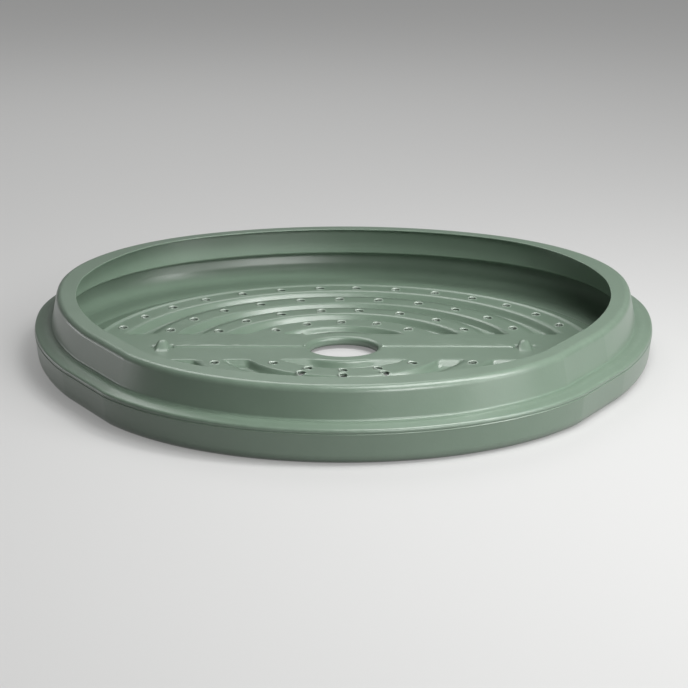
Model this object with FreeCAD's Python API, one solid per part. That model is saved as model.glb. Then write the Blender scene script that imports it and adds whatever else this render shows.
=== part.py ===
import FreeCAD, Part
import math
import os

# Base tray of a round garden compost bin, in three moulded pieces: a lower ring that stands
# on the ground, a collar ring that stands on its ledge and a perforated floor plate inside.
# Millimetres and degrees. The ground is z = 0, the air hole is on the z axis, the front is -y.

Vector = FreeCAD.Vector
UP = Vector(0, 0, 1)

# Plan of the rim's outer edge: arcs and flats from the back, round the left side, to the front
back_arc_radius = 419.0
back_arc_half_turn = 27.5
back_corner_radius = 300.0
side_arc_radius = 546.0
side_arc_turn = 26.2
side_crease_radius = 45.0
side_crease_turn = 3.8
front_flat_length = 108.0
front_crease_radius = 32.0
front_crease_turn = 6.2

# Heights above the ground
rim_height = 79.5
ledge_height = 43.5
land_height = 14.0

# Section of the two wall rings
wall_skin = 3.0
rim_width = 22.5
rim_edge_skin = 1.5
rim_outer_radius = 4.5
collar_flare = 7.5
ledge_width = 21.0
ledge_seat_width = 8.0
ledge_fall = 2.5
ledge_edge_radius = 5.0
wall_taper = 4.0
bottom_edge_radius = 12.0

# Rebate in the ledge that the collar's foot stands in
collar_seat_depth = 1.5
collar_seat_clearance = 0.2

# Foot of the lower ring, which carries the floor plate
foot_skin = 4.0
foot_seat_width = 14.0
foot_overlap = 8.0

# Floor plate
plate_skin = 3.5
plate_radius = 339.0
plate_rise_foot_radius = 324.0
plate_rise_top_radius = 313.0
air_hole_radius = 42.0
air_hole_lip_radius = 4.0
air_hole_collar_depth = 9.5

# Half-ring grooves either side of the plain bar across the floor
groove_depth = 9.0
groove_top_width = 28.0
groove_bottom_width = 14.0
inner_groove_radius = 82.0
groove_pitch = 60.0
groove_rings = 4
bar_half_width = 58.0
groove_end_slope = 4.0

# Drain holes on the flat lands between the grooves, crowded a little towards the back and front
drain_radius = 5.0
drain_sides = 8
drain_ring_radii = (112.0, 171.0, 230.0, 292.0)
drain_ring_counts = (5, 8, 11, 14)
drain_first_angles = (42.0, 25.4, 20.2, 18.8)
drain_crowding = 1.05
back_drain_skew = 1.3
paired_drain_radii = (106.0, 125.0)
end_drain_across = -46.0
end_drain_up = 59.0

# Pinch line along the bar, with a rounded lug at each end that slopes down to the front
pinch_line_radius = 1.4
lug_centre = 225.0
lug_radius = 7.0
lug_height = 9.0
lug_length = 24.0

# A cutter runs past the face that it opens by this much
cut_past = 2.0

# Rounded edges are made of this many short flats
round_steps = 3


def rounded_face(corners):
    """Face bounded by (across, up, radius) corners, each rounded in short flats to its own radius."""
    points = [Vector(across, 0, up) for across, up, radius in corners]
    outline = []
    for index, (across, up, radius) in enumerate(corners):
        here = points[index]
        if radius == 0:
            outline.append(here)
            continue
        back = (points[index - 1] - here).normalize()
        onward = (points[(index + 1) % len(points)] - here).normalize()
        half_angle = back.getAngle(onward) / 2
        reach = radius / math.tan(half_angle)
        centre = here + (back + onward).normalize() * (radius / math.sin(half_angle))
        start = here + back * reach - centre
        finish = here + onward * reach - centre
        turn = math.pi - 2 * half_angle
        for step in range(round_steps + 1):
            done = turn * step / round_steps
            share = math.sin(turn - done) / math.sin(turn)
            outline.append(centre + start * share + finish * (math.sin(done) / math.sin(turn)))
    return Part.Face(Part.makePolygon(outline + outline[:1]))


def outward(turn):
    """Direction out of the wall where the plan has turned this far from the back."""
    return Vector(-math.sin(math.radians(turn)), math.cos(math.radians(turn)), 0)


def along(turn):
    """Direction of travel round the plan, from the back to the left to the front."""
    return Vector(-math.cos(math.radians(turn)), -math.sin(math.radians(turn)), 0)


def half_plan():
    """Spans of the left half of the plan: (start point, start turn, arc radius, turn, flat length)."""
    side_end = 90.0 + side_arc_turn
    flat_turn = side_end + side_crease_turn
    front_start = flat_turn + front_crease_turn
    spans = [
        (0.0, back_arc_radius, back_arc_half_turn, 0.0),
        (back_arc_half_turn, back_corner_radius, 90.0 - back_arc_half_turn, 0.0),
        (90.0, side_arc_radius, side_arc_turn, 0.0),
        (side_end, side_crease_radius, side_crease_turn, 0.0),
        (flat_turn, 0.0, 0.0, front_flat_length),
        (flat_turn, front_crease_radius, front_crease_turn, 0.0),
    ]
    point = Vector(0, 0, 0)
    placed = []
    for turn, radius, sweep, length in spans:
        placed.append((point, turn, radius, sweep, length))
        centre = point - outward(turn) * radius
        point = centre + outward(turn + sweep) * radius + along(turn) * length
    front_radius = -point.x / math.sin(math.radians(front_start))
    placed.append((point, front_start, front_radius, 180.0 - front_start, 0.0))
    front = point - outward(front_start) * front_radius + outward(180.0) * front_radius
    shift = Vector(0, -front.y / 2, 0)
    return [(start + shift, turn, radius, sweep, length) for start, turn, radius, sweep, length in placed]


PLAN = half_plan()


def sweep_round(section):
    """Carry a section, drawn as distance out from the plan and height, all the way round it."""
    solids = []
    for start, turn, radius, sweep, length in PLAN:
        face = section.copy()
        face.Placement = FreeCAD.Placement(start, FreeCAD.Rotation(UP, 90.0 + turn))
        if length > 0:
            solids.append(face.extrude(along(turn) * length))
        else:
            solids.append(face.revolve(start - outward(turn) * radius, UP, sweep))
    half = solids[0].multiFuse(solids[1:])
    return half.fuse(half.mirror(Vector(0, 0, 0), Vector(1, 0, 0))).removeSplitter()


def plan_face(offset):
    """Flat face inside the plan moved out by the offset, on the ground."""
    edges = []
    for start, turn, radius, sweep, length in PLAN:
        first = start + outward(turn) * offset
        if length > 0:
            edges.append(Part.LineSegment(first, first + along(turn) * length).toShape())
            continue
        centre = start - outward(turn) * radius
        middle = centre + outward(turn + sweep / 2) * (radius + offset)
        last = centre + outward(turn + sweep) * (radius + offset)
        edges.append(Part.Arc(first, middle, last).toShape())
    half = Part.Wire(edges)
    return Part.Face(Part.Wire(half.Edges + half.mirror(Vector(0, 0, 0), Vector(1, 0, 0)).Edges[::-1]))


# Collar ring: flat rim turned inwards on an upright collar that flares a little to its foot
collar_inside = collar_flare - wall_skin
collar_seat = ledge_height - collar_seat_depth
collar_section = rounded_face([
    (-rim_width, rim_height, 0.0),
    (0.0, rim_height, rim_outer_radius),
    (collar_flare, collar_seat, 0.0),
    (collar_inside, collar_seat, 0.0),
    (-wall_skin, rim_height - wall_skin, 0.0),
    (-rim_width, rim_height - rim_edge_skin, 0.0),
])
collar_ring = sweep_round(collar_section)

# Lower ring: ledge with the collar's rebate, tapered wall and a foot turned in under the floor.
# The ledge is flat where the next ring of the bin sits and falls from there to its outer edge.
rebate_edge = collar_flare + collar_seat_clearance
seat_edge = rebate_edge + ledge_seat_width
ledge_edge = collar_flare + ledge_width
ledge_edge_height = ledge_height - ledge_fall
wall_foot = ledge_edge - wall_taper
foot_seat_radius = plate_radius - foot_seat_width
foot_stub = front_crease_radius / 2
corner_depth = bottom_edge_radius * (math.sqrt(2) - 1) + wall_skin
corner_bevel = corner_depth * math.sqrt(2) - wall_skin - foot_skin
lower_section = rounded_face([
    (collar_inside, collar_seat, 0.0),
    (rebate_edge, collar_seat, 0.0),
    (rebate_edge, ledge_height, 0.0),
    (seat_edge, ledge_height, 0.0),
    (ledge_edge, ledge_edge_height, ledge_edge_radius),
    (wall_foot, 0.0, bottom_edge_radius),
    (-foot_stub, 0.0, 0.0),
    (-foot_stub, foot_skin, 0.0),
    (wall_foot - wall_skin - corner_bevel, foot_skin, 0.0),
    (wall_foot - wall_skin, foot_skin + corner_bevel, 0.0),
    (ledge_edge - wall_skin, ledge_edge_height - wall_skin, 0.0),
    (seat_edge, ledge_height - wall_skin, 0.0),
    (collar_inside, ledge_height - wall_skin, 0.0),
])
foot = plan_face(-foot_stub + foot_overlap).extrude(UP * foot_skin)
foot = foot.cut(Part.makeCylinder(foot_seat_radius, foot_skin))
lower_ring = sweep_round(lower_section).fuse(foot).removeSplitter()

# Floor plate: edge on the foot, a rise to the flat lands and a turned-down lip round the air hole
land_underside = land_height - plate_skin
edge_top = foot_skin + plate_skin
lip_bottom = land_height - air_hole_collar_depth
plate_section = rounded_face([
    (air_hole_radius, land_height, air_hole_lip_radius),
    (plate_rise_top_radius, land_height, 0.0),
    (plate_rise_foot_radius, edge_top, 0.0),
    (plate_radius, edge_top, 0.0),
    (plate_radius, foot_skin, 0.0),
    (plate_rise_foot_radius, foot_skin, 0.0),
    (plate_rise_top_radius, land_underside, 0.0),
    (air_hole_radius + plate_skin, land_underside, 0.0),
    (air_hole_radius + plate_skin, lip_bottom, 0.0),
    (air_hole_radius, lip_bottom, 0.0),
])
floor_plate = plate_section.revolve(Vector(0, 0, 0), UP, 360)


def half_floor(end_at, top, bottom):
    """Space behind the bar, as wide as the floor, with a sloped end wall beside the bar."""
    slope = groove_end_slope / groove_depth
    low_at = end_at + slope * (land_height - bottom)
    high_at = end_at - slope * (top - land_height)
    corners = [(low_at, bottom), (plate_radius, bottom), (plate_radius, top), (high_at, top)]
    outline = Part.makePolygon([Vector(-plate_radius, y, z) for y, z in corners + corners[:1]])
    return Part.Face(outline).extrude(Vector(2 * plate_radius, 0, 0))


def groove(radius, grow, top, bottom):
    """Half ring of tapered section behind the bar, made larger all round by the given skin."""
    slope = (groove_top_width - groove_bottom_width) / 2 / groove_depth
    half_top = groove_top_width / 2 + grow + slope * (top - land_height)
    half_bottom = groove_top_width / 2 + grow - slope * (land_height - bottom)
    section = rounded_face([
        (radius - half_top, top, 0.0),
        (radius + half_top, top, 0.0),
        (radius + half_bottom, bottom, 0.0),
        (radius - half_bottom, bottom, 0.0),
    ])
    ring = section.revolve(Vector(0, 0, 0), UP, 180)
    return ring.common(half_floor(bar_half_width - grow, top, bottom))


groove_floor = land_height - groove_depth
tubs = []
channels = []
for ring in range(groove_rings):
    radius = inner_groove_radius + ring * groove_pitch
    back_tub = groove(radius, plate_skin, land_height, groove_floor - plate_skin)
    back_channel = groove(radius, 0.0, land_height + cut_past, groove_floor)
    for shape, group in ((back_tub, tubs), (back_channel, channels)):
        group.append(shape)
        group.append(shape.mirror(Vector(0, 0, 0), Vector(0, 1, 0)))
floor_plate = floor_plate.multiFuse(tubs)
floor_plate = floor_plate.cut(Part.makeCompound(channels))

# Pinch line on both sides of the air hole, ending in the lugs
line_start = air_hole_radius + air_hole_lip_radius
line_length = lug_centre - line_start
lug_base = land_height + lug_height - lug_radius
raised = []
for side in (-1, 1):
    raised.append(Part.makeCylinder(
        pinch_line_radius, line_length, Vector(side * line_start, 0, land_height), Vector(side, 0, 0)))
    lug_back = Vector(side * lug_centre, 0, lug_base)
    lug_front = Vector(side * lug_centre, -lug_length, land_height - lug_radius)
    ramp = lug_front - lug_back
    raised.append(Part.makeSphere(lug_radius, lug_back))
    raised.append(Part.makeCylinder(lug_radius, lug_base - land_underside, lug_back, -UP))
    raised.append(Part.makeCylinder(lug_radius, ramp.Length, lug_back, ramp))
above_plate = Part.makeCylinder(plate_radius, rim_height, Vector(0, 0, land_underside))
floor_plate = floor_plate.multiFuse([shape.common(above_plate) for shape in raised])


def drain(radius, angle):
    """Upright cutter for one drain hole, with few sides because there are so many."""
    turns = [math.radians(angle) + 2 * math.pi * side / drain_sides for side in range(drain_sides + 1)]
    across = radius * math.cos(math.radians(angle))
    up = radius * math.sin(math.radians(angle))
    corners = [Vector(across + drain_radius * math.cos(turn), up + drain_radius * math.sin(turn), 0)
               for turn in turns]
    return Part.Face(Part.makePolygon(corners)).extrude(UP * (land_height + cut_past))


drains = []
for radius, count, first in zip(drain_ring_radii, drain_ring_counts, drain_first_angles):
    for hole in range(count):
        from_middle = 1.0 - 2.0 * hole / (count - 1)
        angle = 90.0 - math.copysign(abs(from_middle) ** drain_crowding, from_middle) * (90.0 - first)
        drains.append(drain(radius, angle + back_drain_skew))
        paired = radius == drain_ring_radii[0] and 0 < hole < count - 1
        for front_radius in paired_drain_radii if paired else (radius,):
            drains.append(drain(front_radius, -angle))
drains.append(drain(math.hypot(end_drain_across, end_drain_up),
                    math.degrees(math.atan2(end_drain_up, end_drain_across))))
floor_plate = floor_plate.cut(Part.makeCompound(drains)).removeSplitter()

os.makedirs("parts", exist_ok=True)
pieces = {"collar_ring": collar_ring, "lower_ring": lower_ring, "floor_plate": floor_plate}
for name, shape in pieces.items():
    shape.exportStep("parts/" + name + ".step")
    box = shape.optimalBoundingBox()
    print(name, "solids", len(shape.Solids), "valid", shape.isValid(), "faces", len(shape.Faces),
          "volume %.0f" % shape.Volume, "x %.1f %.1f" % (box.XMin, box.XMax),
          "y %.1f %.1f" % (box.YMin, box.YMax), "z %.2f %.2f" % (box.ZMin, box.ZMax))
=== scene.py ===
import math

import bpy
import numpy as np
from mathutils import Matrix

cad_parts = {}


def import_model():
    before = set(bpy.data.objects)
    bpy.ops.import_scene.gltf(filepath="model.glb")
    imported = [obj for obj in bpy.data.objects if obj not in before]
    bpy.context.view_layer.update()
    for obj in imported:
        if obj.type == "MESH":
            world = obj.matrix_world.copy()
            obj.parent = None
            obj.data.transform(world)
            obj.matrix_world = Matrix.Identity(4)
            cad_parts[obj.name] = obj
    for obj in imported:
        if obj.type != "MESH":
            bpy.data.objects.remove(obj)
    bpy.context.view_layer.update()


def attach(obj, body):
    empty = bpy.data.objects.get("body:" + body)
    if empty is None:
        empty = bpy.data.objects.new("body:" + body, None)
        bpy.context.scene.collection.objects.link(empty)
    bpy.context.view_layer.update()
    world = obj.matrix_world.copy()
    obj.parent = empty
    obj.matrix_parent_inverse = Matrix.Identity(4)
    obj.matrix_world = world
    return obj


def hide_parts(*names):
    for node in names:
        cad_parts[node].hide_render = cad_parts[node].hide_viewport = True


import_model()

# Lower ring, which stands on the ground: a ledge for the bin's body, a wall that tapers in to a
# rounded bottom edge, and a foot turned in under the floor. Blow-moulded green polyethylene, with
# a fine parting line left by the mould just under the edge of the ledge.
MM = 0.001  # sizes are in millimetres and angles in degrees, unless a comment says otherwise
BACK_ARC_RADIUS = 419.0
BACK_ARC_HALF_TURN = 27.5
BACK_CORNER_RADIUS = 300.0
SIDE_ARC_RADIUS = 546.0
SIDE_ARC_TURN = 26.2
SIDE_CREASE_RADIUS = 45.0
SIDE_CREASE_TURN = 3.8
FRONT_FLAT_LENGTH = 108.0
FRONT_CREASE_RADIUS = 32.0
FRONT_CREASE_TURN = 6.2
PLAN_STEP = 4.2
CREASE_STEP = 0.55


def unit(vectors):
    """Vectors brought to length one: each over the root of its summed squares."""
    return vectors / np.linalg.norm(vectors, axis=-1, keepdims=True)


def outward(turn):
    """Unit vectors out of the wall where the outline has turned so many degrees from the back."""
    return np.stack([-np.sin(np.radians(turn)), np.cos(np.radians(turn))], -1)


def along(turn):
    """Unit vectors of travel round the outline: the outward ones a quarter turn further on."""
    return outward(np.asarray(turn) + 90.0)


def wall_plan():
    """Closed outline of the rim's outer edge, as points and outward normals.

    Half of it is a chain of arcs and one flat, from the middle of the back round the left to the
    middle of the front, with a short tight arc as a crease at each end of the flat. A point on an
    arc is its start plus the radius times the change in the outward direction. The last arc's
    radius brings the chain back to x = 0. The other half is the mirror image.
    """
    chain = np.array([
        (BACK_ARC_HALF_TURN, BACK_ARC_RADIUS, 0.0, PLAN_STEP),
        (90.0 - BACK_ARC_HALF_TURN, BACK_CORNER_RADIUS, 0.0, PLAN_STEP),
        (SIDE_ARC_TURN, SIDE_ARC_RADIUS, 0.0, PLAN_STEP),
        (SIDE_CREASE_TURN, SIDE_CREASE_RADIUS, 0.0, CREASE_STEP),
        (0.0, 0.0, FRONT_FLAT_LENGTH, PLAN_STEP),
        (FRONT_CREASE_TURN, FRONT_CREASE_RADIUS, 0.0, CREASE_STEP),
    ])
    sweep, radius, flat = chain.T[:3]
    front_turn = sweep.sum()
    turn = np.cumsum(sweep) - sweep
    move = radius[:, None] * (outward(turn + sweep) - outward(turn)) + flat[:, None] * along(turn)
    front_radius = -move.sum(0)[0] / math.sin(math.radians(front_turn))
    last = front_radius * (outward(180.0) - outward(front_turn))
    chain = np.vstack([chain, (180.0 - front_turn, front_radius, 0.0, PLAN_STEP)])
    sweep, radius, flat, step = chain.T
    turn = np.append(turn, front_turn)
    ends = np.cumsum(np.vstack([move, last]), 0)
    starts = np.vstack([[0.0, 0.0], ends[:-1]])
    count = np.ceil((radius * np.radians(sweep) + flat) / step).astype(int)
    span = np.repeat(np.arange(len(turn)), count)
    share = np.concatenate([np.arange(n) / n for n in count])
    now = turn[span] + sweep[span] * share
    points = starts[span] + radius[span, None] * (outward(now) - outward(turn[span]))
    points = points + (flat[span] * share)[:, None] * along(turn[span])
    points = np.vstack([points, ends[-1]]) - [0.0, ends[-1, 1] / 2]
    normals = np.vstack([outward(now), outward(180.0)])
    points = np.vstack([points, (points * [-1, 1])[-2:0:-1]])
    normals = np.vstack([normals, (normals * [-1, 1])[-2:0:-1]])
    return points, normals


PLAN, OUT = wall_plan()
ARC_POINTS = 6
RUN_INSET = 0.9
RUN_STEP = 7.0
LEAST_RUN = 1e-9


def rounded_section(corners):
    """Closed section as (across, up) points, and how much each one rounds outwards, from 0 to 1.

    Each corner (across, up, radius) is an arc about a centre on its bisector. Its two end
    directions are blended by sines. Straight runs between arcs get a point near each end, which
    keeps them flat to the light, and points in between where they are long.
    """
    table = np.array(corners, float)
    here, radius = table[:, :2], table[:, 2:]
    back = unit(np.roll(here, 1, 0) - here)
    ahead = unit(np.roll(here, -1, 0) - here)
    half = np.arccos(np.clip((back * ahead).sum(1, keepdims=True), -1, 1)) / 2
    centre = here + unit(back + ahead) * radius / np.sin(half)
    start = here + back * radius / np.tan(half) - centre
    finish = here + ahead * radius / np.tan(half) - centre
    bend = (math.pi - 2 * half)[:, None]
    share = np.linspace(0, 1, ARC_POINTS)[None, :, None]
    arcs = start[:, None] * np.sin((1 - share) * bend) + finish[:, None] * np.sin(share * bend)
    arcs = centre[:, None] + arcs / np.sin(bend)
    convex = ahead[:, 0] * back[:, 1] - ahead[:, 1] * back[:, 0] < 0
    runs = np.roll(arcs, -1, 0)[:, 0] - arcs[:, -1]
    points, edge = [], []
    for arc, run, rounds_out in zip(arcs, runs, convex):
        size = np.linalg.norm(run)
        inset = min(RUN_INSET, size / 4)
        stops = np.linspace(inset, size - inset, 2 + int(size / RUN_STEP)) / max(size, LEAST_RUN)
        points += [arc, arc[-1] + stops[:, None] * run]
        edge += [np.full(ARC_POINTS, float(rounds_out)), np.zeros(len(stops))]
    return np.vstack(points), np.concatenate(edge)


def carried_round(across, up, reach=None):
    """Section carried round the outline: vertices in metres, plan index by section index.

    A vertex is the plan point plus the section's distance across, along the normal, at the
    section's height. The distance may change from one plan point to the next. Where reach gives a
    radius, the vertex is at that radius from the axis instead, in the plan point's direction.
    """
    across = np.broadcast_to(across, (len(PLAN), len(up)))
    flat = PLAN[:, None] + OUT[:, None] * across[..., None]
    if reach is not None:
        ring = unit(PLAN)[:, None] * np.nan_to_num(reach)[:, None]
        flat = np.where(np.isnan(reach)[:, None], flat, ring)
    height = np.broadcast_to(up[:, None], flat.shape[:2] + (1,))
    return np.concatenate([flat, height], 2) * MM


def grid_mesh(name, verts, quads, marks):
    """Smooth-shaded mesh object from vertex and quad arrays, with named values kept per vertex."""
    mesh = bpy.data.meshes.new(name)
    mesh.vertices.add(len(verts))
    mesh.vertices.foreach_set("co", verts.astype(np.float32).ravel())
    mesh.loops.add(quads.size)
    mesh.loops.foreach_set("vertex_index", quads.astype(np.int32).ravel())
    mesh.polygons.add(len(quads))
    mesh.polygons.foreach_set("loop_start", np.arange(0, quads.size, 4, dtype=np.int32))
    mesh.update(calc_edges=True)
    mesh.polygons.foreach_set("use_smooth", np.ones(len(quads), bool))
    for mark, values in marks.items():
        kept = mesh.attributes.new(mark, "FLOAT", "POINT")
        kept.data.foreach_set("value", values.astype(np.float32))
    piece = bpy.data.objects.new(name, mesh)
    bpy.context.scene.collection.objects.link(piece)
    return piece


def ring_piece(name, across, up, edge, reach=None):
    """Closed ring: the carried section, with quads wrapped round the outline and the section."""
    grid = carried_round(across, up, reach)
    rows, cols = grid.shape[:2]
    i, j = np.meshgrid(np.arange(rows), np.arange(cols), indexing="ij")
    after, beside = (i + 1) % rows * cols, (j + 1) % cols
    quads = np.stack([i * cols + j, i * cols + beside, after + beside, after + j], -1)
    marks = {"edge": np.broadcast_to(edge, (rows, cols)).ravel()}
    return grid_mesh(name, grid.reshape(-1, 3), quads.reshape(-1, 4), marks)


def socket_group(name, inputs, outputs):
    """Empty shader group with float inputs (name, value) and named float outputs, and its ends."""
    group = bpy.data.node_groups.new(name, "ShaderNodeTree")
    for label, value in inputs:
        socket = group.interface.new_socket(label, in_out="INPUT", socket_type="NodeSocketFloat")
        socket.default_value = value
    for label in outputs:
        group.interface.new_socket(label, in_out="OUTPUT", socket_type="NodeSocketFloat")
    return group, group.nodes.new("NodeGroupInput"), group.nodes.new("NodeGroupOutput")


def noise(tree, place, scale, detail=2.0, rough=0.5):
    """Noise node read at the given place, with its scale set or linked."""
    node = tree.nodes.new("ShaderNodeTexNoise")
    node.inputs["Detail"].default_value = detail
    node.inputs["Roughness"].default_value = rough
    tree.links.new(place, node.inputs["Vector"])
    if isinstance(scale, float):
        node.inputs["Scale"].default_value = scale
    else:
        tree.links.new(scale, node.inputs["Scale"])
    return node.outputs["Fac"]


def stretched(tree, place, scale, turn=(0.0, 0.0, 0.0)):
    """Place turned by three angles in radians and scaled along each axis."""
    node = tree.nodes.new("ShaderNodeMapping")
    node.inputs["Rotation"].default_value = turn
    node.inputs["Scale"].default_value = scale
    tree.links.new(place, node.inputs["Vector"])
    return node.outputs["Vector"]


def maths(tree, operation, first, second=0.0):
    """Maths node on two links or numbers."""
    node = tree.nodes.new("ShaderNodeMath")
    node.operation = operation
    for socket, value in zip(node.inputs, (first, second)):
        if isinstance(value, (int, float)):
            socket.default_value = value
        else:
            tree.links.new(value, socket)
    return node.outputs[0]


def add_share(tree, base, extra, share):
    """Base plus a share of the extra value."""
    return maths(tree, "ADD", base, maths(tree, "MULTIPLY", extra, share))


def blend_range(tree, value, source, target=(0.0, 1.0)):
    """Value brought from the source range (low, high) to the target range, and clipped there."""
    node = tree.nodes.new("ShaderNodeMapRange")
    tree.links.new(value, node.inputs["Value"])
    for label, number in zip(("From Min", "From Max", "To Min", "To Max"), source + target):
        node.inputs[label].default_value = number
    return node.outputs["Result"]


def colour_mix(tree, factor, first, second):
    """Colour between two colours, each one linked or plain, by a linked factor."""
    node = tree.nodes.new("ShaderNodeMix")
    node.data_type = "RGBA"
    tree.links.new(factor, node.inputs["Factor"])
    for label, colour in (("A", first), ("B", second)):
        if isinstance(colour, tuple):
            node.inputs[label].default_value = colour + (1.0,)
        else:
            tree.links.new(colour, node.inputs[label])
    return node.outputs["Result"]


COARSE_PEEL = 0.35


def mould_skin_group():
    """Moulded polyethylene: fine orange peel, long shallow swells and slow mottling, by place.

    Peel height is two fine noises added, swell height is one coarse noise, and the mottle is a
    middling noise that shifts colour and gloss a little.
    """
    group, start, end = socket_group(
        "mould_skin", [("Peel Scale", 420.0), ("Swell Scale", 9.0), ("Mottle Scale", 26.0)],
        ["Peel", "Swell", "Mottle"])
    place = group.nodes.new("ShaderNodeTexCoord").outputs["Object"]
    fine_scale = start.outputs["Peel Scale"]
    coarse_scale = maths(group, "MULTIPLY", fine_scale, COARSE_PEEL)
    fine = noise(group, place, fine_scale, detail=1.0)
    coarse = noise(group, place, coarse_scale, detail=1.0)
    swell = noise(group, place, start.outputs["Swell Scale"], detail=0.0)
    mottle = noise(group, place, start.outputs["Mottle Scale"], detail=4.0, rough=0.6)
    group.links.new(maths(group, "ADD", fine, coarse), end.inputs["Peel"])
    group.links.new(swell, end.inputs["Swell"])
    group.links.new(mottle, end.inputs["Mottle"])
    return group


SCRATCH_STRETCH = (1.0, 14.0, 6.0)
SCRATCH_TURN = (0.3, 0.2, 0.7)  # radians
SCRATCH_CREST = (0.66, 0.74)
PATCH_SCALE = 7.0
PATCH_RANGE = (0.5, 0.66)
RUB_SCALE = 70.0
RUB_RANGE = (0.42, 0.68)
RUB_KEPT = (0.15, 1.0)


def handling_group():
    """Light rubbing: sparse fine scratches, and pale rub along edges where the edge mark is high.

    Scratches are the crests of a noise stretched along a turned axis, kept only in patches. The
    rub is the edge mark times a broken noise.
    """
    group, start, end = socket_group(
        "handling_marks", [("Edge", 0.0), ("Scratch Scale", 60.0)], ["Scratch", "Rub"])
    place = group.nodes.new("ShaderNodeTexCoord").outputs["Object"]
    lines = noise(group, stretched(group, place, SCRATCH_STRETCH, SCRATCH_TURN),
                  start.outputs["Scratch Scale"])
    crest = blend_range(group, lines, SCRATCH_CREST)
    patch = blend_range(group, noise(group, place, PATCH_SCALE), PATCH_RANGE)
    group.links.new(maths(group, "MULTIPLY", crest, patch), end.inputs["Scratch"])
    broken = noise(group, place, RUB_SCALE, detail=4.0, rough=0.65)
    broken = blend_range(group, broken, RUB_RANGE, RUB_KEPT)
    group.links.new(maths(group, "MULTIPLY", start.outputs["Edge"], broken), end.inputs["Rub"])
    return group


FOLD_STRETCH = (1.5, 0.5, 1.0)
CREASE_RANGE = (0.0, 0.3)


def fold_group():
    """Creases of the nipped tube, along the middle values of a stretched noise, where Fold is high.

    The crease height falls from one to nought with the noise's distance from a half, and is squared
    to sharpen it.
    """
    group, start, end = socket_group(
        "fold_marks", [("Fold", 0.0), ("Fold Scale", 26.0)], ["Crease"])
    place = group.nodes.new("ShaderNodeTexCoord").outputs["Object"]
    wave = noise(group, stretched(group, place, FOLD_STRETCH), start.outputs["Fold Scale"],
                 rough=0.45)
    away = maths(group, "ABSOLUTE", maths(group, "SUBTRACT", wave, 0.5))
    ridge = blend_range(group, away, CREASE_RANGE, (1.0, 0.0))
    ridge = maths(group, "MULTIPLY", ridge, ridge)
    group.links.new(maths(group, "MULTIPLY", ridge, start.outputs["Fold"]), end.inputs["Crease"])
    return group


def placed_group(tree, group):
    """Group node of a shared effect in a material's tree."""
    node = tree.nodes.new("ShaderNodeGroup")
    node.node_tree = group
    return node


def piece_mark(tree, mark):
    """Named value kept per vertex of the piece, nought on a piece that has none."""
    node = tree.nodes.new("ShaderNodeAttribute")
    node.attribute_name = mark
    return node.outputs["Fac"]


MOULD_SKIN = mould_skin_group()
HANDLING = handling_group()
FOLDS = fold_group()
DARK_GREEN = (0.15, 0.216, 0.159)
PALE_GREEN = (0.21, 0.285, 0.22)
# Painted glint: the pale green mixed in on the drain holes' burrs, strongest on their tall side.
GLINT_GREEN = (0.6, 0.66, 0.6)
MOTTLE_RANGE = (0.3, 0.7)
MOTTLE_TONE = (0.32, 0.48)
RUB_TONE = 0.35
SCRATCH_TONE = 0.06
SATIN_ROUGHNESS = (0.295, 0.325)
SCRATCH_ROUGHNESS = 0.02
POLYETHYLENE_IOR = 1.5
SATIN_SPECULAR = 0.8
PEEL_DEPTH = 0.05
SWELL_DEPTH = 1.0
FOLD_DEPTH = 0.14


def polyethylene(name):
    """Satin green moulded plastic, from the shared groups and the piece's own marks.

    The tone from dark to pale green is the mottle plus shares of rub and scratches, and a pale
    green painted on the burrs as a glint, most on their tall side. Roughness is the mottle plus a
    share of the scratches. Bump height is the sum of peel, swell and fold creases, each times its
    depth.
    """
    material = bpy.data.materials.new(name)
    material.use_nodes = True
    tree = material.node_tree
    surface = tree.nodes["Principled BSDF"]
    surface.inputs["IOR"].default_value = POLYETHYLENE_IOR
    surface.inputs["Specular IOR Level"].default_value = SATIN_SPECULAR
    skin = placed_group(tree, MOULD_SKIN)
    marks = placed_group(tree, HANDLING)
    folds = placed_group(tree, FOLDS)
    tree.links.new(piece_mark(tree, "edge"), marks.inputs["Edge"])
    tree.links.new(piece_mark(tree, "fold"), folds.inputs["Fold"])
    mottle, scratch = skin.outputs["Mottle"], marks.outputs["Scratch"]

    tone = blend_range(tree, mottle, MOTTLE_RANGE, MOTTLE_TONE)
    tone = add_share(tree, tone, marks.outputs["Rub"], RUB_TONE)
    tone = add_share(tree, tone, scratch, SCRATCH_TONE)
    green = colour_mix(tree, tone, DARK_GREEN, PALE_GREEN)
    # Painted glint: the burr mark mixes in a pale green that stands in for the burrs' highlight.
    green = colour_mix(tree, piece_mark(tree, "burr"), green, GLINT_GREEN)
    tree.links.new(green, surface.inputs["Base Color"])

    rough = blend_range(tree, mottle, MOTTLE_RANGE, SATIN_ROUGHNESS)
    rough = add_share(tree, rough, scratch, SCRATCH_ROUGHNESS)
    tree.links.new(rough, surface.inputs["Roughness"])

    height = maths(tree, "MULTIPLY", skin.outputs["Peel"], PEEL_DEPTH * MM)
    height = add_share(tree, height, skin.outputs["Swell"], SWELL_DEPTH * MM)
    height = add_share(tree, height, folds.outputs["Crease"], FOLD_DEPTH * MM)
    bump = tree.nodes.new("ShaderNodeBump")
    bump.inputs["Distance"].default_value = 1.0
    tree.links.new(height, bump.inputs["Height"])
    tree.links.new(bump.outputs["Normal"], surface.inputs["Normal"])
    return material


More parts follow.
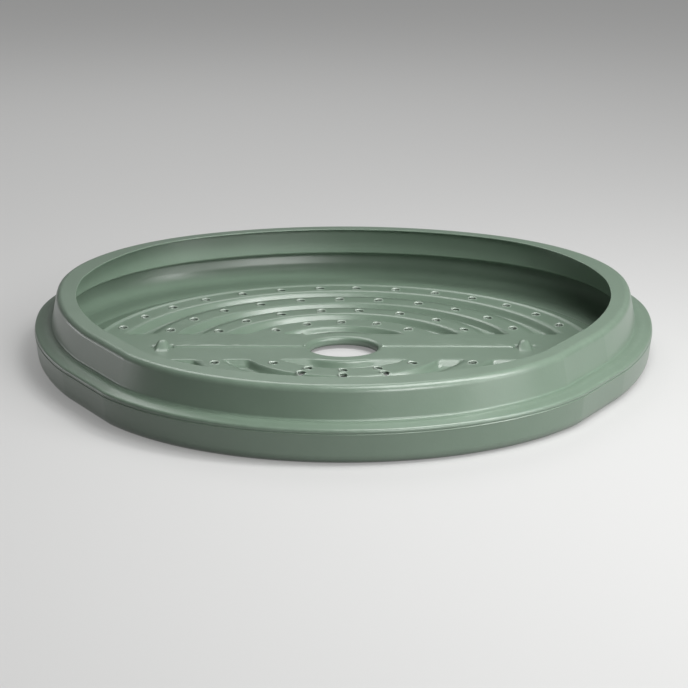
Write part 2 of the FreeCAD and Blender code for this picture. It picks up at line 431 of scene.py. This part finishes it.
CRISP = 0.1
CLEAN = 0.3
WALL_SKIN = 3.0
FOOT_SKIN = 4.0
COLLAR_FLARE = 7.5
COLLAR_SEAT = 42.0
REBATE_GAP = 0.2
LEDGE_HEIGHT = 43.5
SEAT_EDGE = 15.7
SEAT_ROUNDING = 20.0
LEDGE_EDGE = 28.5
LEDGE_EDGE_HEIGHT = 39.5
LEDGE_EDGE_ROUNDING = 3.5
PARTING_HEIGHT = 35.4
PARTING_HALF = 0.9
PARTING_NOTCH = 0.5
PARTING_PROUD_ABOVE = 0.05
PARTING_PROUD_BELOW = 0.35
PARTING_ROUNDING = 0.25
PARTING_END = 2.4
PARTING_END_ROUNDING = 0.6
WALL_FOOT = 24.5
WALL_FOOT_ROUNDING = 12.0
FOOT_STUB = 16.0
STUB_END = 0.5
FOOT_RADIUS = 325.0
INNER_LEAN = 7.0
INNER_FILLET = 26.0
INNER_EDGE_ROUNDING = 6.5
INNER_SEAT_ROUNDING = 14.0
INNER_CORNER_ROUNDING = 1.0
wall_slope = (LEDGE_EDGE - WALL_FOOT) / LEDGE_EDGE_HEIGHT
parting = WALL_FOOT + wall_slope * PARTING_HEIGHT
# Corners of the section: across from the rim's outer edge, up from the ground, and rounding.
lower_corners = [
    (COLLAR_FLARE - WALL_SKIN, COLLAR_SEAT, CLEAN),
    (COLLAR_FLARE + REBATE_GAP, COLLAR_SEAT, CRISP),
    (COLLAR_FLARE + REBATE_GAP, LEDGE_HEIGHT, CLEAN),
    (SEAT_EDGE, LEDGE_HEIGHT, SEAT_ROUNDING),
    (LEDGE_EDGE, LEDGE_EDGE_HEIGHT, LEDGE_EDGE_ROUNDING),
    (parting + PARTING_PROUD_ABOVE, PARTING_HEIGHT + PARTING_HALF, PARTING_ROUNDING),
    (parting - PARTING_NOTCH, PARTING_HEIGHT, PARTING_ROUNDING),
    (parting + PARTING_PROUD_BELOW, PARTING_HEIGHT - PARTING_HALF, CLEAN),
    (parting, PARTING_HEIGHT - PARTING_END, PARTING_END_ROUNDING),
    (WALL_FOOT, 0.0, WALL_FOOT_ROUNDING),
    (-FOOT_STUB, 0.0, CRISP),
    (-FOOT_STUB, FOOT_SKIN, CRISP),
    (WALL_FOOT - WALL_SKIN - INNER_LEAN, FOOT_SKIN, INNER_FILLET),
    (LEDGE_EDGE - WALL_SKIN, LEDGE_EDGE_HEIGHT - WALL_SKIN, INNER_EDGE_ROUNDING),
    (SEAT_EDGE, LEDGE_HEIGHT - WALL_SKIN, INNER_SEAT_ROUNDING),
    (COLLAR_FLARE - WALL_SKIN, LEDGE_HEIGHT - WALL_SKIN, INNER_CORNER_ROUNDING),
]
lower_section, lower_edge = rounded_section(lower_corners)
lower_across, lower_up = lower_section.T
lower_reach = np.where(lower_across < -FOOT_STUB + STUB_END, FOOT_RADIUS, np.nan)
lower_ring = ring_piece("lower_ring_moulding", lower_across, lower_up, lower_edge, lower_reach)
lower_ring.data.materials.append(polyethylene("green_polyethylene_lower"))
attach(lower_ring, "root")
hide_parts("lower_ring")

# Floor plate, which lies on the foot: half-ring grooves either side of a plain bar, drain holes on
# the lands, an air hole with a turned-down lip, and the mould's pinch line with a lug at each end.
# The same green polyethylene, with fold marks where the soft tube was nipped shut.
LAND_HEIGHT = 14.0
PLATE_SKIN = 3.5
PLATE_RADIUS = 339.0
AIR_HOLE = 42.0
BAR_HALF = 58.0
BEVEL_EASE = 0.35
THUMB_POWER = 2.6


def smooth(value):
    """Smooth step from 0 to 1: three times the square less twice the cube of the clipped value."""
    value = np.clip(value, 0, 1)
    return value * value * (3 - 2 * value)


def past(value, start, width):
    """Smooth step that begins at the start and takes the width."""
    return smooth((value - start) / width)


def before(value, end, width):
    """Smooth step downwards that takes the width and reaches nought at the end."""
    return smooth((end - value) / width)


def bevel(value):
    """Step from 0 to 1 with eased ends: about a third smooth step, the rest a straight ramp."""
    return BEVEL_EASE * smooth(value) + (1 - BEVEL_EASE) * np.clip(value, 0, 1)


def hump(value):
    """Half-round bump: the root of one less the square, and nought outside -1 to 1."""
    return np.sqrt(np.clip(1 - value * value, 0, 1))


def thumb(value):
    """Blunt bump, flatter on top than a half round: the root of one less the 2.6 power."""
    return np.sqrt(np.clip(1 - np.abs(value) ** THUMB_POWER, 0, 1))


def bell(value):
    """Bell-shaped bump: e to the power of less the square."""
    return np.exp(-value ** 2)


GROOVES = 82.0 + 60.0 * np.arange(4)
GROOVE_DEPTH = 9.0
GROOVE_HALF_TOP = 14.5
GROOVE_WALL = 8.0
GROOVE_END = BAR_HALF - 0.5
END_WALL = 9.0
STEEPER_BY = 3.5
STEEPER_END = 110.0
STEEPER_OVER = 40.0


def grooved_lands(x, y):
    """Height of lands and grooves at (x, y).

    A groove sinks by a step of the distance from its centre line, times a step of the distance past
    the bar. The first step is shorter, so the wall is steeper, near the bar.
    """
    apart = np.abs(np.hypot(x, y)[..., None] - GROOVES).min(-1)
    wall = GROOVE_WALL - STEEPER_BY * before(np.abs(y), STEEPER_END, STEEPER_OVER)
    sink = bevel((GROOVE_HALF_TOP - apart) / wall) * bevel((np.abs(y) - GROOVE_END) / END_WALL)
    return LAND_HEIGHT - GROOVE_DEPTH * sink


CROWN = 0.6
CROWN_RADIUS = 255.0
CROWN_END = 317.0
CROWN_FADE = 18.0
BEAD_RADIUS = 311.5
BEAD_HEIGHT = 1.3
BEAD_HALF = 3.2
FALL_FROM = 314.0
FALL_OVER = 11.0


def crown_and_fall(x, y):
    """Height added at (x, y) by the crown, the bead and the fall to the plate's edge.

    The crown is one less the square of the radius, faded out near the edge. The bead is half-round.
    The fall is a smooth step of the radius, deep enough for the edge to lie on the foot.
    """
    r = np.hypot(x, y)
    crown = CROWN * (1 - (r / CROWN_RADIUS) ** 2) * before(r, CROWN_END, CROWN_FADE)
    bead = BEAD_HEIGHT * hump((r - BEAD_RADIUS) / BEAD_HALF)
    fall = (LAND_HEIGHT - FOOT_SKIN - PLATE_SKIN) * past(r, FALL_FROM, FALL_OVER)
    return crown + bead - fall


LUG_AT = 222.0
LUG_HALF = 8.0
LUG_HEIGHT = 9.0
LUG_RAMP = 24.0
LUG_PITS = ((-10.8, 3.0), (11.5, 1.5))  # distance from the lug's middle, and depth
PIT_HALF = 2.4
PIT_LENGTH = 7.0
PIT_BACK = 1.0


def lugs(x, y):
    """Height of the two lugs at (x, y): blunt bumps with a ramp in front and a pit each side.

    A pit is a bell across the bar times e to the power of less the fourth power along it.
    """
    reach = np.abs(x)
    across = (reach - LUG_AT) / LUG_HALF
    ramp = thumb(across) * smooth(1 + y / LUG_RAMP)
    height = LUG_HEIGHT * np.where(y > 0, thumb(np.hypot(across, y / LUG_HALF)), ramp)
    for side, depth in LUG_PITS:
        pit = bell((reach - LUG_AT - side) / PIT_HALF)
        height = height - depth * pit * np.exp(-((y - PIT_BACK) / PIT_LENGTH) ** 4)
    return height


PINCH_HALF = 1.7
PINCH_HEIGHT = 1.2
PINCH_FROM = AIR_HOLE + 3.0
PINCH_TO = LUG_AT - 9.0
PINCH_FADE = 3.0
DENT_DEPTH = 0.7
DENT_AT = 3.3
DENT_HALF = 0.9
NUB_HEIGHT = 1.5
NUB_AT = 47.5
NUB_LENGTH = 2.0
NUB_HALF = 2.4


def pinch_line(x, y):
    """Height of the pinch line at (x, y), from the air hole to the lugs.

    It is a half-round bump with a bell-shaped dent each side, and a bell-shaped nub by the hole.
    """
    reach = np.abs(x)
    on_line = past(reach, PINCH_FROM, PINCH_FADE) * before(reach, PINCH_TO, PINCH_FADE)
    ridge = PINCH_HEIGHT * hump(y / PINCH_HALF)
    dent = DENT_DEPTH * bell((np.abs(y) - DENT_AT) / DENT_HALF)
    nub = NUB_HEIGHT * bell((reach - NUB_AT) / NUB_LENGTH) * bell(y / NUB_HALF)
    return (ridge - dent) * on_line + nub


FOLD_HEIGHT = 0.5
FOLD_PITCH = 0.42  # radians for each millimetre
FOLD_CENTRE = (165.0, -14.0)
FOLD_SQUEEZE = 1.6
FOLD_SWAY = 1.3
FOLD_SWAY_PITCH = 0.05
# Each side of the folded area: where its smooth step starts or ends, and the step's width.
FOLD_BEHIND = (4.0, 6.0)
FOLD_BAR_EDGE = (BAR_HALF - 2.0, 12.0)
FOLD_INNER = (80.0, 50.0)
FOLD_OUTER = (LUG_AT - 10.0, 14.0)


def fold_mask(x, y):
    """Share from 0 to 1 of fold marks: on the bar behind the pinch line, from hole to lugs.

    It is four smooth steps multiplied, one for each side of that area.
    """
    reach = np.abs(x)
    behind = past(y, *FOLD_BEHIND) * before(y, *FOLD_BAR_EDGE)
    return behind * past(reach, *FOLD_INNER) * before(reach, *FOLD_OUTER)


def nip_folds(x, y):
    """Height of shallow folds at (x, y), where the fold mask is high.

    They are a sine of the squeezed distance from a point each side, swayed by a slow sine of x.
    """
    apart = np.hypot(np.abs(x) - FOLD_CENTRE[0], FOLD_SQUEEZE * (y - FOLD_CENTRE[1]))
    wave = np.sin(FOLD_PITCH * apart + FOLD_SWAY * np.sin(FOLD_SWAY_PITCH * x))
    return FOLD_HEIGHT * wave * fold_mask(x, y)


def floor_height(x, y):
    """Height of the floor plate's top at (x, y): the lands and all that they carry, added."""
    flat = grooved_lands(x, y) + crown_and_fall(x, y)
    return flat + pinch_line(x, y) + lugs(x, y) + nip_folds(x, y)


DRAIN_RADIUS = 5.0
DRAIN_RINGS = np.array([112.0, 171.0, 230.0, 292.0])
DRAIN_COUNTS = (5, 8, 11, 14)
DRAIN_FIRST = (42.0, 25.4, 20.2, 18.8)
DRAIN_CROWDING = 1.05
BACK_SKEW = 1.3
PAIRED_RADII = (106.0, 125.0)
END_DRAIN = (-46.0, 59.0)


def drain_places():
    """(radius, angle in radians) of every drain hole, some of them paired in front.

    On each ring the angle from the middle is an even spread, raised to a power that draws the
    holes together at the back and front.
    """
    places = [(math.hypot(*END_DRAIN), math.atan2(END_DRAIN[1], END_DRAIN[0]))]
    for ring, (radius, count, first) in enumerate(zip(DRAIN_RINGS, DRAIN_COUNTS, DRAIN_FIRST)):
        from_middle = np.linspace(1, -1, count)
        spread = np.sign(from_middle) * np.abs(from_middle) ** DRAIN_CROWDING
        for hole, angle in enumerate(90.0 - spread * (90.0 - first)):
            places.append((radius, math.radians(angle + BACK_SKEW)))
            paired = ring == 0 and 0 < hole < count - 1
            for front in PAIRED_RADII if paired else (radius,):
                places.append((front, math.radians(360.0 - angle)))
    return places


WALL_STOPS = np.array([6.2, 7.6, 9.4, 11.2, 13.0, 14.7])
DRAIN_STOPS = np.array([3.6, 7.6])
LUG_STOPS = np.array([3.4, 5.6, 7.0, 7.7, 8.05, 9.0, 10.4, 12.0, 14.0])
PAIRED_ROWS = np.array([98.0, 104.5, 115.5, 119.6, 126.0])
HOLE_ROWS = np.array([46.9, 47.8, 49.0, 51.0, 54.0, 60.0])
BEAD_ROWS = np.array([304.0, 308.4, 309.2, 310.2, 311.5, 312.8, 313.8, 314.6])
FALL_ROWS = np.array([316.5, 319.0, 321.5, 324.0, 326.5, 331.0, 335.5])


def both_ways(stops):
    """Stops mirrored about nought, with nought between them."""
    return np.concatenate([-stops[::-1], [0.0], stops])


def plate_rows():
    """Radii of the grid's rings: close on groove walls, lugs and edges, and beside drain holes."""
    groove_rows = (GROOVES[:, None] + both_ways(WALL_STOPS)).ravel()
    drain_rows = (DRAIN_RINGS[1:, None] + both_ways(DRAIN_STOPS)).ravel()
    lug_rows = LUG_AT + both_ways(LUG_STOPS)
    return np.sort(np.concatenate([
        groove_rows, drain_rows, lug_rows, PAIRED_ROWS, HOLE_ROWS, BEAD_ROWS, FALL_ROWS]))


BAR_STOPS = np.array([0.5, 1.0, 1.5, 2.1, 2.8, 3.6, 4.8, 6.4, 7.4, 8.05, 11.0, 15.0, 19.0, 23.0,
                      27.0, 31.0, 35.0, 39.5, 44.0, 48.0, 52.0, 55.5])
BAR_NECK = 68.0
END_SHARES = np.array([0.0015, 0.003, 0.0045, 0.006, 0.0078, 0.010])
SECTOR_INSET = 0.014
SECTOR_SPOKES = 88


def plate_columns(rows):
    """Angles in radians of the grid's spokes at each ring, ring index by spoke index.

    Beside the bar the spokes run at a constant distance from the x axis. In the two sectors they
    are spread evenly between the bar's edges, and closer near those edges. Inside the bar's neck
    they all run straight to the axis.
    """
    bar = np.concatenate([[-BAR_HALF], both_ways(BAR_STOPS)])
    sector = np.linspace(SECTOR_INSET, 1 - SECTOR_INSET, SECTOR_SPOKES)
    share = np.concatenate([[0.0], END_SHARES, sector, 1 - END_SHARES[::-1]])
    wide = np.maximum(rows, BAR_NECK)[:, None]
    edge = np.arcsin(BAR_HALF / wide)
    half = np.concatenate([np.arcsin(bar / wide), edge + share * (math.pi - 2 * edge)], 1)
    return np.concatenate([half, half + math.pi], 1)


AIR_LIP = 4.0
LIP_DEPTHS = np.array([9.5, 6.5])
LIP_POINTS = 6
# Radius and drop of each ring of the rounded edge.
EDGE_DROPS = ((337.6, 0.05), (338.5, 0.35), (338.95, 0.95), (PLATE_RADIUS, 1.7))


def plate_grid():
    """Radii of the rings, angles of the spokes, and the (x, y, z) grid of the plate's top.

    Rings run up the air hole's wall and round a quarter circle, its lip, then over the floor and
    out to the rounded edge, where each ring drops a little more.
    """
    lip = np.radians(np.linspace(0, 90, LIP_POINTS))
    lip_radii = AIR_HOLE + AIR_LIP * (1 - np.cos(lip))
    lip_heights = LAND_HEIGHT - AIR_LIP * (1 - np.sin(lip))
    edge_radii, edge_drops = np.array(EDGE_DROPS).T
    wall_radii = np.full(len(LIP_DEPTHS), AIR_HOLE)
    radii = np.concatenate([wall_radii, lip_radii, plate_rows(), edge_radii])
    angles = plate_columns(radii)
    x, y = radii[:, None] * np.cos(angles), radii[:, None] * np.sin(angles)
    z = floor_height(x, y)
    most = np.concatenate([LAND_HEIGHT - LIP_DEPTHS, lip_heights])
    z[:len(most)] = np.minimum(z[:len(most)], most[:, None])
    z[-len(edge_drops):] -= edge_drops[:, None]
    return radii, angles, np.stack([x, y, z], -1)


BLOCK_HALF = 7.3
# Radius of each ring round a drain hole, and how proud of the floor it stands.
BURR = ((7.25, 0.0), (7.0, 0.0), (6.7, 0.9), (6.3, 1.7), (5.9, 1.9), (5.4, 1.6),
        (DRAIN_RADIUS, 0.5), (DRAIN_RADIUS - 0.3, -0.5))
BURR_SIDE = 2.1  # radians
BURR_SIDE_SPREAD = 0.8
BURR_SIDE_CHANGE = 31
BURR_EVEN = 0.6
BURR_LEAN = 0.4
# Share of the painted glint on a burr, which is paler with its height and most on its tall side.
BURR_GLINT = 0.65


def floor_surface():
    """Vertices in metres, quads and burr marks of the plate's top, with the drain holes let in.

    Round a hole a block of the grid's quads is taken out, and rings of quads run from the block's
    border in to the hole's circle. They follow a burr proud of the floor, which is higher on one
    side: its height has an even part and a part that goes with the cosine from that side. The
    burr is also painted paler, as a glint, by its height times the square of that lean.
    """
    radii, angles, grid = plate_grid()
    count, spokes = angles.shape
    verts, burr, quads = [grid.reshape(-1, 3)], [np.zeros(angles.size)], []
    keep = np.ones((count - 1, spokes), bool)
    total = angles.size
    for radius, angle in drain_places():
        middle = np.array([radius * math.cos(angle), radius * math.sin(angle)])
        turn = angles[np.searchsorted(radii, radius)]
        i0 = np.searchsorted(radii, radius - BLOCK_HALF, "right") - 1
        i1 = np.searchsorted(radii, radius + BLOCK_HALF, "left")
        j0 = np.searchsorted(turn, angle - BLOCK_HALF / radius, "right") - 1
        j1 = np.searchsorted(turn, angle + BLOCK_HALF / radius, "left")
        keep[i0:i1, j0:j1] = False
        rows_up, cols_up = np.arange(i0, i1), np.arange(j0, j1)
        border = np.concatenate([
            rows_up * spokes + j0, i1 * spokes + cols_up,
            (rows_up[::-1] + 1) * spokes + j1, i0 * spokes + cols_up[::-1] + 1])
        toward = unit(verts[0][border, :2] - middle)
        tall = BURR_SIDE + BURR_SIDE_SPREAD * math.sin(BURR_SIDE_CHANGE * angle)
        lean = BURR_EVEN + BURR_LEAN * (toward @ [math.cos(tall), math.sin(tall)])
        loop = border
        for size, proud in BURR:
            ring = toward * size + middle
            level = floor_height(ring[:, 0], ring[:, 1]) + proud * lean
            verts.append(np.column_stack([ring, level]))
            # Painted glint: the burr mark is paler with the burr's height and most on its tall
            # side.
            burr.append(BURR_GLINT * np.clip(proud, 0, 1) * lean ** 2)
            inner = total + np.arange(len(border))
            total += len(border)
            quads.append(np.stack([loop, np.roll(loop, -1), np.roll(inner, -1), inner], -1))
            loop = inner
    i, j = np.nonzero(keep)
    here, after, beside = i * spokes, (i + 1) * spokes, (j + 1) % spokes
    quads.append(np.stack([here + j, after + j, after + beside, here + beside], -1))
    return np.vstack(verts) * MM, np.vstack(quads), np.concatenate(burr)


EDGE_RUB = 2.5
plate_verts, plate_quads, plate_burr_glint = floor_surface()
used, plate_quads = np.unique(plate_quads, return_inverse=True)
plate_quads = plate_quads.reshape(-1, 4)
plate_verts = plate_verts[used]
plate_x, plate_y, plate_z = plate_verts.T / MM
plate_outside = np.hypot(plate_x, plate_y) > PLATE_RADIUS - EDGE_RUB
plate_marks = {
    "edge": np.clip(np.clip(plate_z - LAND_HEIGHT, 0, 1) + plate_outside, 0, 1),
    "fold": fold_mask(plate_x, plate_y),
    # The burr mark is a painted glint on the drain holes' burrs.
    "burr": plate_burr_glint[used],
}
floor_plate = grid_mesh("floor_plate_moulding", plate_verts, plate_quads, plate_marks)
thickness = floor_plate.modifiers.new("plate_thickness", "SOLIDIFY")
thickness.thickness = PLATE_SKIN * MM
thickness.offset = -1.0
thickness.use_even_offset = False
floor_plate.data.materials.append(polyethylene("green_polyethylene_floor"))
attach(floor_plate, "root")
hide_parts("floor_plate")

# Collar ring, over which the bin's body is lowered: an upright collar with a flat rim turned in,
# wider at the front and the back corners. It stands in a rebate in the ledge, with a cove at its
# foot. Moulded in the same green polyethylene, and a little rubbed along the rim's outer edge.
RIM_HEIGHT = 79.5
RIM_WIDTH = 22.5
RIM_ROUNDING = 8.0
RIM_EDGE_SKIN = 1.5
RIM_EDGE_ROUNDING = 0.6
RIM_UNDER_ROUNDING = 0.5
RIM_UNDER_FILLET = 2.5
COVE = 2.6
COVE_TOE = 1.0
COVE_TOE_UNDER = 0.8
TOE_ABOVE_LEDGE = 0.12
TOE_BELOW_LEDGE = 0.02
TOE_ROUNDING = 0.05
TOE_UNDER_ROUNDING = 0.02
COLLAR_FOOT_ROUNDING = 0.2
COLLAR_THICK_FOOT = 15.0
THICK_FOOT_ROUNDING = 2.0
collar_lean = COLLAR_FLARE / (RIM_HEIGHT - COLLAR_SEAT)
collar_foot = COLLAR_FLARE - collar_lean * (LEDGE_HEIGHT - COLLAR_SEAT)
collar_corners = [
    (-RIM_WIDTH, RIM_HEIGHT, RIM_EDGE_ROUNDING),
    (0.0, RIM_HEIGHT, RIM_ROUNDING),
    (collar_foot, LEDGE_HEIGHT + TOE_ABOVE_LEDGE, COVE),
    (collar_foot + COVE + COVE_TOE, LEDGE_HEIGHT + TOE_ABOVE_LEDGE, TOE_ROUNDING),
    (collar_foot + COVE + COVE_TOE_UNDER, LEDGE_HEIGHT - TOE_BELOW_LEDGE, TOE_UNDER_ROUNDING),
    (COLLAR_FLARE, LEDGE_HEIGHT - TOE_BELOW_LEDGE, CRISP),
    (COLLAR_FLARE, COLLAR_SEAT, COLLAR_FOOT_ROUNDING),
    (COLLAR_FLARE - COLLAR_THICK_FOOT, COLLAR_SEAT, THICK_FOOT_ROUNDING),
    (-WALL_SKIN, RIM_HEIGHT - WALL_SKIN, RIM_UNDER_FILLET),
    (-RIM_WIDTH, RIM_HEIGHT - RIM_EDGE_SKIN, RIM_UNDER_ROUNDING),
]
collar_section, collar_edge = rounded_section(collar_corners)
collar_across, collar_up = collar_section.T

# What lies further in than LIP_START is stretched to the rim's width at each plan point. Turns
# are from the middle of the back. A pair is where a smooth step starts or ends, and its width.
LIP_START = 6.0
FRONT_WIDER_BY = 13.0
FRONT_WIDER = (122.0, 42.0)
CORNER_WIDER_BY = 7.0
CORNER_WIDER = (35.0, 35.0)
CORNER_WIDER_END = (104.0, 28.0)
plan_turn = np.degrees(np.arctan2(np.abs(OUT[:, 0]), OUT[:, 1]))
corner_share = before(plan_turn, *CORNER_WIDER_END) * past(plan_turn, *CORNER_WIDER)
rim_width = RIM_WIDTH + FRONT_WIDER_BY * past(plan_turn, *FRONT_WIDER)
rim_width = rim_width + CORNER_WIDER_BY * corner_share
widen = (rim_width - LIP_START) / (RIM_WIDTH - LIP_START)
rim_across = collar_across + np.minimum(collar_across + LIP_START, 0) * (widen[:, None] - 1)
collar_ring = ring_piece("collar_ring_moulding", rim_across, collar_up, collar_edge)
collar_ring.data.materials.append(polyethylene("green_polyethylene_collar"))
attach(collar_ring, "root")
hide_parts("collar_ring")

# Studio floor, lights and camera, in metres: a plain pale floor under the tray, soft lamps to the
# right, to the right in front, above and behind, a low card on the left and a dim even surround.
# The camera stands at the photograph's angle.
FLOOR_HALF = 30.0
FLOOR_DROP = 0.0004
PAPER_IN_LIGHT = (0.15, 0.15, 0.149)
PAPER_SEEN = (0.42, 0.42, 0.416)
PAPER_GLOW = (1.0, 1.0, 0.99, 1.0)
PAPER_GLOW_SEEN = 0.22
PAPER_ROUGHNESS = 0.9
SURROUND_STRENGTH = 0.11
floor_quad = np.array([[0, 1, 2, 3]])
floor_corners = np.array([[-1, -1, 0], [1, -1, 0], [1, 1, 0], [-1, 1, 0]]) * FLOOR_HALF
studio_floor = grid_mesh("studio_floor", floor_corners - [0, 0, FLOOR_DROP], floor_quad, {})
paper = bpy.data.materials.new("pale_paper")
paper.use_nodes = True
paper_tree = paper.node_tree
paper_surface = paper_tree.nodes["Principled BSDF"]
paper_surface.inputs["Roughness"].default_value = PAPER_ROUGHNESS
paper_surface.inputs["Emission Color"].default_value = PAPER_GLOW
ray = paper_tree.nodes.new("ShaderNodeLightPath").outputs
shown = maths(paper_tree, "MAXIMUM", ray["Is Camera Ray"], ray["Is Glossy Ray"])
shown = maths(paper_tree, "MAXIMUM", shown, ray["Is Transmission Ray"])
paper_tone = colour_mix(paper_tree, shown, PAPER_IN_LIGHT, PAPER_SEEN)
paper_glow = maths(paper_tree, "MULTIPLY", shown, PAPER_GLOW_SEEN)
paper_tree.links.new(paper_tone, paper_surface.inputs["Base Color"])
paper_tree.links.new(paper_glow, paper_surface.inputs["Emission Strength"])
studio_floor.data.materials.append(paper)

surround = bpy.data.worlds.new("studio_surround")
surround.use_nodes = True
surround_light = surround.node_tree.nodes["Background"].inputs
surround_light["Color"].default_value = (1.0, 1.0, 1.0, 1.0)
surround_light["Strength"].default_value = SURROUND_STRENGTH
bpy.context.scene.world = surround


def soft_lamp(name, place, aim, wide, tall, power):
    """Rectangular soft lamp that faces the aim point: tilted from straight down, then turned."""
    lamp = bpy.data.lights.new(name, "AREA")
    lamp.shape = "RECTANGLE"
    lamp.size = wide
    lamp.size_y = tall
    lamp.energy = power
    stand = bpy.data.objects.new(name, lamp)
    stand.location = place
    away = np.array(place, float) - np.array(aim, float)
    tilt = math.acos(away[2] / np.linalg.norm(away))
    stand.rotation_euler = (tilt, 0.0, math.atan2(away[0], -away[1]))
    bpy.context.scene.collection.objects.link(stand)


TRAY_MIDDLE = (0.0, 0.0, 0.04)
soft_lamp("right_lamp", (2.05, -1.0, 0.7), TRAY_MIDDLE, wide=1.2, tall=1.3, power=12.0)
soft_lamp("right_strip", (1.64, -0.44, 1.7), TRAY_MIDDLE, wide=0.4, tall=1.3, power=21.0)
soft_lamp("front_right_strip", (0.95, -1.9, 0.9), TRAY_MIDDLE, wide=1.1, tall=0.5, power=18.0)
soft_lamp("overhead_lamp", (0.4, -0.35, 1.25), (0.1, -0.1, 0.0), wide=0.9, tall=0.6, power=11.5)
soft_lamp("back_lamp", (-0.4, 1.9, 1.9), TRAY_MIDDLE, wide=1.6, tall=1.0, power=14.0)
soft_lamp("left_card", (-1.9, 0.75, 0.1), (0.0, 0.0, 0.05), wide=1.4, tall=0.2, power=2.6)

CAMERA_DISTANCE = 2.758
CAMERA_ELEVATION = math.radians(15.68)
FRAME_PIXELS = 688.0
FOCAL_PIXELS = 2246.0
AIM_PIXELS = (343.5, 346.7)
SENSOR_WIDTH = 36.0
lens = bpy.data.cameras.new("photo_camera")
lens.sensor_width = SENSOR_WIDTH
lens.lens = SENSOR_WIDTH * FOCAL_PIXELS / FRAME_PIXELS
lens.shift_x = 0.5 - AIM_PIXELS[0] / FRAME_PIXELS
lens.shift_y = AIM_PIXELS[1] / FRAME_PIXELS - 0.5
camera = bpy.data.objects.new("photo_camera", lens)
camera.location = (0.0, -CAMERA_DISTANCE * math.cos(CAMERA_ELEVATION),
                   LAND_HEIGHT * MM + CAMERA_DISTANCE * math.sin(CAMERA_ELEVATION))
camera.rotation_euler = (math.pi / 2 - CAMERA_ELEVATION, 0.0, 0.0)
bpy.context.scene.collection.objects.link(camera)
bpy.context.scene.camera = camera
bpy.context.scene.view_settings.view_transform = "Standard"
